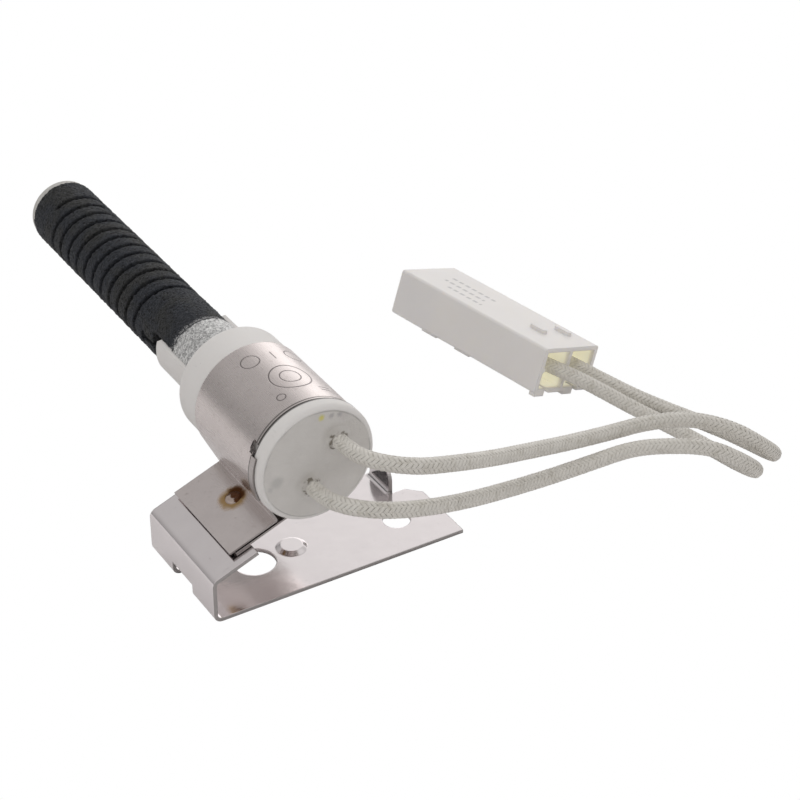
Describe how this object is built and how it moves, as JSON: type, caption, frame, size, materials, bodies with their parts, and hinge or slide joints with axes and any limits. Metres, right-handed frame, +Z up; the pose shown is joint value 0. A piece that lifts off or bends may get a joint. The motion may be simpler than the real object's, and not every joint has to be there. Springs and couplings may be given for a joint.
{
  "type": "hot surface igniter",
  "caption": "Silicon carbide spiral igniter in a ceramic body, strapped to a folded sheet bracket, with sleeved leads to a two-way plug.",
  "frame": {"origin": "centre of the large screw hole on the underside of the bracket's base", "axes": "+X along the base away from the folded wall, +Y along the spiral towards its tip, +Z up from the base"},
  "size_m": [0.1268, 0.1414, 0.0422],
  "materials": {
    "silicon_carbide": "matte, coarse grained",
    "cap_cement": "matte, rough",
    "sprayed_metal": "flame sprayed, speckled",
    "ceramic": "unglazed, matte",
    "potting_cement": "trowelled cement, matte",
    "strap_steel": "thin stainless sheet, satin",
    "bracket_steel": "stainless sheet, mill bright",
    "weld": "heat tinted",
    "white_nylon": "moulded, satin",
    "nickel": "plain nickel",
    "glass_sleeve": "braided glass fibre",
    "tinned_brass": "tin plated"
  },
  "bodies": {
    "root": {"bracket": "bracket_steel", "ceramic_body": "ceramic", "clamp_strap": "strap_steel", "conductor_1": "nickel", "conductor_2": "nickel", "contact_coating_lower": "sprayed_metal", "contact_coating_upper": "sprayed_metal", "crimp_barrel_1": "nickel", "crimp_barrel_2": "nickel", "front_potting": "potting_cement", "lead_1": "glass_sleeve", "lead_2": "glass_sleeve", "plug_contact_1": "tinned_brass", "plug_contact_2": "tinned_brass", "plug_housing": "white_nylon", "rear_cement": "potting_cement", "slot_spacer": "ceramic", "spiral_element": "silicon_carbide", "terminal_strip_1": "nickel", "terminal_strip_2": "nickel", "tip_cap": "cap_cement", "weld_spot": "weld"}
  },
  "joints": []
}
